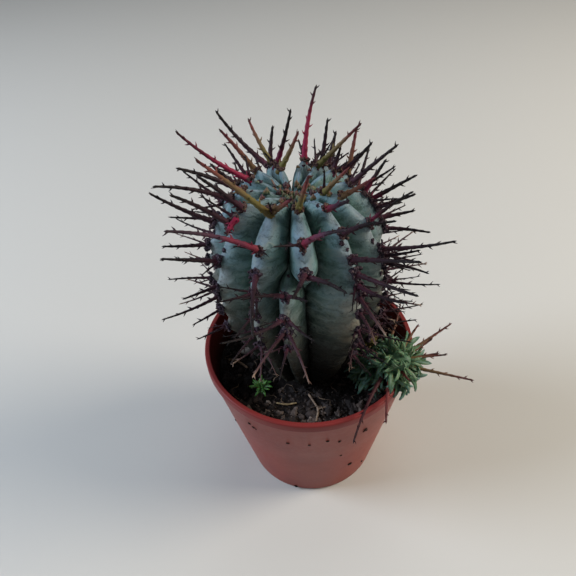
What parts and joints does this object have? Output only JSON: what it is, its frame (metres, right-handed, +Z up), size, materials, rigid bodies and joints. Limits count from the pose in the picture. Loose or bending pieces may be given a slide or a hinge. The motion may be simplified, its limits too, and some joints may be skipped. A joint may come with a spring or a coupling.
{
  "type": "potted euphorbia",
  "caption": "Young ribbed columnar euphorbia with woody branched spines in a tapered round plastic nursery pot, with a small leafy offset leaning over the rim.",
  "frame": {"origin": "centre of the pot's flat underside, on the surface the pot stands on", "axes": "+Z up; -Y towards the side with the narrow front rib, as usually looked at; +X towards the side of the leaning offset"},
  "size_m": [0.1087, 0.0994, 0.1706],
  "materials": {
    "pot_plastic": "thin terracotta-coloured moulded plastic, satin, with a redder glossy lip",
    "potting_mix": "dark damp potting mix with grit",
    "stem_skin": "waxy blue-green skin with a pale bloom on the crests and dark furrows",
    "spine_wood": "dry woody flower stalks, dark purple, crimson and olive where young",
    "offset_skin": "soft grey-green skin and leaves, brighter green at the tip",
    "bud_skin": "olive and reddish young growth",
    "sprout_leaf": "fresh bright green leaf",
    "dry_root": "pale dry root",
    "dry_twig": "weathered brown twig",
    "dry_straw": "pale dry straw",
    "pebble": "matt grey stone"
  },
  "bodies": {
    "root": {"pot": "pot_plastic", "potting_soil": "potting_mix", "main_stem": "stem_skin", "offset_stem": "offset_skin", "bud": "bud_skin", "sprout": "sprout_leaf", "forked_root": "dry_root", "dry_twig": "dry_twig", "dry_straw": "dry_straw", "grey_pebble": "pebble"}
  },
  "joints": []
}
